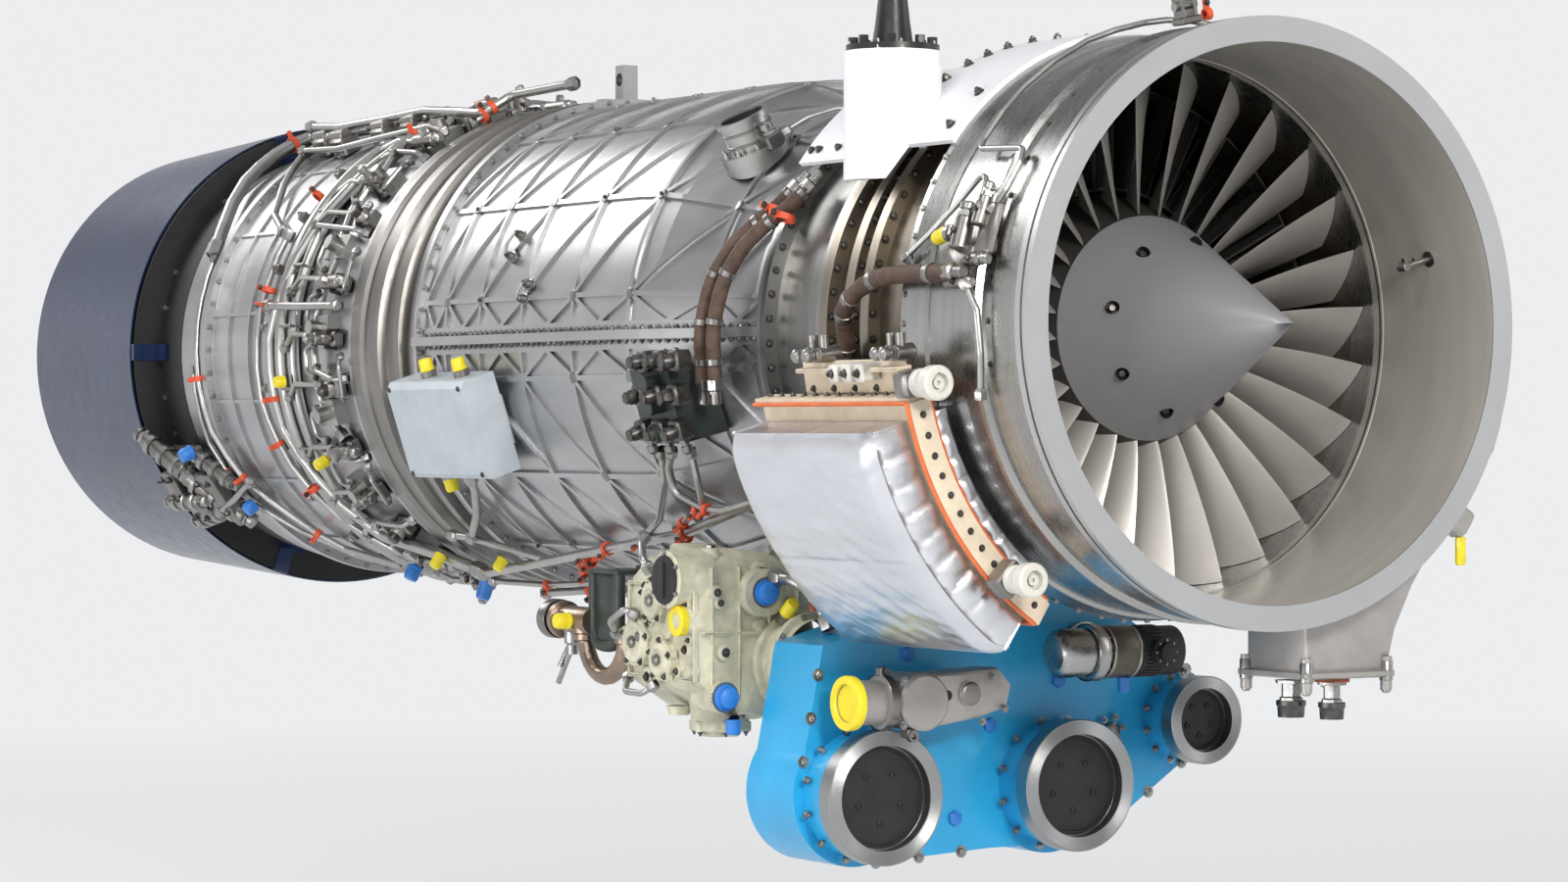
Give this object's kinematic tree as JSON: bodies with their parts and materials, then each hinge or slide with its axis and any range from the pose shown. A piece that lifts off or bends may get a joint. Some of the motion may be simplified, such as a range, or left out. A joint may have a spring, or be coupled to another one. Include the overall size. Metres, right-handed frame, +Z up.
{
  "type": "jet engine",
  "caption": "Afterburning jet engine with open intake, fan, ribbed bypass duct, blue gearbox below, hanger above and an opening nozzle in a dark shroud.",
  "frame": {"origin": "on the engine's axis, in the plane of the front ring's face", "axes": "+Y aft along the axis, from intake to exhaust; +Z up; +X to the side away from the insulated box"},
  "size_m": [0.9472, 3.381, 1.306],
  "materials": {
    "machined_ring": "bright machined ring",
    "case_grey": "grey satin case",
    "duct_silver": "silver satin ribbed duct",
    "titanium": "dull titanium",
    "hot_metal": "heat-coloured nickel alloy",
    "shroud_blue": "dark glossy blue",
    "steel_dark": "dark steel",
    "pipe_steel": "bright pipe",
    "gearbox_blue": "pale sky-blue casting paint",
    "cover_black": "matte black",
    "casting_cream": "pale cream casting",
    "foil": "quilted foil blanket",
    "frame_cream": "cream strip",
    "box_grey": "light grey enamel",
    "valve_dark": "dark green-black",
    "hanger_white": "white enamel",
    "rod_black": "black enamel",
    "hose_brown": "brown sleeve",
    "spinner_grey": "matte grey",
    "flap_dark": "dark heat-stained metal"
  },
  "bodies": {
    "engine": {"front_ring": "machined_ring", "fan_case": "case_grey", "fan_case_rear": "duct_silver", "front_frame": "case_grey", "duct_upper": "duct_silver", "duct_lower": "duct_silver", "aft_ring": "titanium", "afterburner_case": "duct_silver", "jet_pipe": "duct_silver", "rear_shroud": "shroud_blue", "fan_vanes": "titanium", "compressor_case": "titanium", "combustor_case": "hot_metal", "combustor_liner": "hot_metal", "turbine_case": "hot_metal", "rear_frame": "hot_metal", "exhaust_cone": "hot_metal", "mixer": "hot_metal", "reheat_burner": "hot_metal", "jet_pipe_liner": "hot_metal", "bearings": "steel_dark", "nozzle_actuators": "case_grey", "gearbox": "gearbox_blue", "gearbox_pads": "pipe_steel", "pad_covers": "cover_black", "starter": "case_grey", "bleed_elbow": "case_grey", "fuel_control": "casting_cream", "control_box": "foil", "control_box_frame": "frame_cream", "grey_box": "box_grey", "valve_block": "valve_dark", "hanger_bracket": "hanger_white", "hanger_rod": "rod_black", "aft_lug": "pipe_steel", "bleed_port": "pipe_steel", "hoses": "hose_brown", "aft_pipes": "pipe_steel", "pipe_valves": "pipe_steel"},
    "fan_spool": {"spinner": "spinner_grey", "fan_blades": "titanium", "fan_drum": "titanium", "fan_shaft": "steel_dark", "fan_turbine": "hot_metal"},
    "core_spool": {"compressor_rotor": "titanium", "core_turbine": "hot_metal"},
    "tower": {"tower_shaft": "steel_dark"},
    "nozzle_slider": {"nozzle_ring": "flap_dark", "actuator_rods": "pipe_steel"},
    "flap_01": {"nozzle_flap_01": "flap_dark"},
    "flap_02": {"nozzle_flap_02": "flap_dark"},
    "flap_03": {"nozzle_flap_03": "flap_dark"},
    "flap_04": {"nozzle_flap_04": "flap_dark"},
    "flap_05": {"nozzle_flap_05": "flap_dark"},
    "flap_06": {"nozzle_flap_06": "flap_dark"},
    "flap_07": {"nozzle_flap_07": "flap_dark"},
    "flap_08": {"nozzle_flap_08": "flap_dark"},
    "flap_09": {"nozzle_flap_09": "flap_dark"},
    "flap_10": {"nozzle_flap_10": "flap_dark"}
  },
  "joints": [
    {"name": "fan_spin", "type": "hinge", "parent": "engine", "child": "fan_spool", "pos_m": [0, 0, 0], "axis": [0, 1, 0], "continuous": true},
    {"name": "core_spin", "type": "hinge", "parent": "engine", "child": "core_spool", "pos_m": [0, 0, 0], "axis": [0, 1, 0], "continuous": true},
    {"name": "tower_spin", "type": "hinge", "parent": "engine", "child": "tower", "pos_m": [0, 0.687, 0], "axis": [0, 0, 1], "continuous": true},
    {"name": "nozzle_slide", "type": "slide", "parent": "engine", "child": "nozzle_slider", "axis": [0, -1, 0], "range_m": [0, 0.03]},
    {"name": "flap_01_hinge", "type": "hinge", "parent": "engine", "child": "flap_01", "pos_m": [0, 2.832, 0.372], "axis": [1, 0, 0], "range_deg": [0, 16]},
    {"name": "flap_02_hinge", "type": "hinge", "parent": "engine", "child": "flap_02", "pos_m": [0.21866, 2.832, 0.30095], "axis": [0.809, 0, -0.5878], "range_deg": [0, 16]},
    {"name": "flap_03_hinge", "type": "hinge", "parent": "engine", "child": "flap_03", "pos_m": [0.35379, 2.832, 0.11495], "axis": [0.309, 0, -0.9511], "range_deg": [0, 16]},
    {"name": "flap_04_hinge", "type": "hinge", "parent": "engine", "child": "flap_04", "pos_m": [0.35379, 2.832, -0.11495], "axis": [-0.309, 0, -0.9511], "range_deg": [0, 16]},
    {"name": "flap_05_hinge", "type": "hinge", "parent": "engine", "child": "flap_05", "pos_m": [0.21866, 2.832, -0.30095], "axis": [-0.809, 0, -0.5878], "range_deg": [0, 16]},
    {"name": "flap_06_hinge", "type": "hinge", "parent": "engine", "child": "flap_06", "pos_m": [0, 2.832, -0.372], "axis": [-1, 0, 0], "range_deg": [0, 16]},
    {"name": "flap_07_hinge", "type": "hinge", "parent": "engine", "child": "flap_07", "pos_m": [-0.21866, 2.832, -0.30095], "axis": [-0.809, 0, 0.5878], "range_deg": [0, 16]},
    {"name": "flap_08_hinge", "type": "hinge", "parent": "engine", "child": "flap_08", "pos_m": [-0.35379, 2.832, -0.11495], "axis": [-0.309, 0, 0.9511], "range_deg": [0, 16]},
    {"name": "flap_09_hinge", "type": "hinge", "parent": "engine", "child": "flap_09", "pos_m": [-0.35379, 2.832, 0.11495], "axis": [0.309, 0, 0.9511], "range_deg": [0, 16]},
    {"name": "flap_10_hinge", "type": "hinge", "parent": "engine", "child": "flap_10", "pos_m": [-0.21866, 2.832, 0.30095], "axis": [0.809, 0, 0.5878], "range_deg": [0, 16]}
  ],
  "couplings": [
    {"joint": "tower_spin", "follows": "core_spin", "ratio": 1.5},
    {"joint": "flap_01_hinge", "follows": "nozzle_slide", "rad_per_m": 9.3},
    {"joint": "flap_02_hinge", "follows": "nozzle_slide", "rad_per_m": 9.3},
    {"joint": "flap_03_hinge", "follows": "nozzle_slide", "rad_per_m": 9.3},
    {"joint": "flap_04_hinge", "follows": "nozzle_slide", "rad_per_m": 9.3},
    {"joint": "flap_05_hinge", "follows": "nozzle_slide", "rad_per_m": 9.3},
    {"joint": "flap_06_hinge", "follows": "nozzle_slide", "rad_per_m": 9.3},
    {"joint": "flap_07_hinge", "follows": "nozzle_slide", "rad_per_m": 9.3},
    {"joint": "flap_08_hinge", "follows": "nozzle_slide", "rad_per_m": 9.3},
    {"joint": "flap_09_hinge", "follows": "nozzle_slide", "rad_per_m": 9.3},
    {"joint": "flap_10_hinge", "follows": "nozzle_slide", "rad_per_m": 9.3}
  ]
}
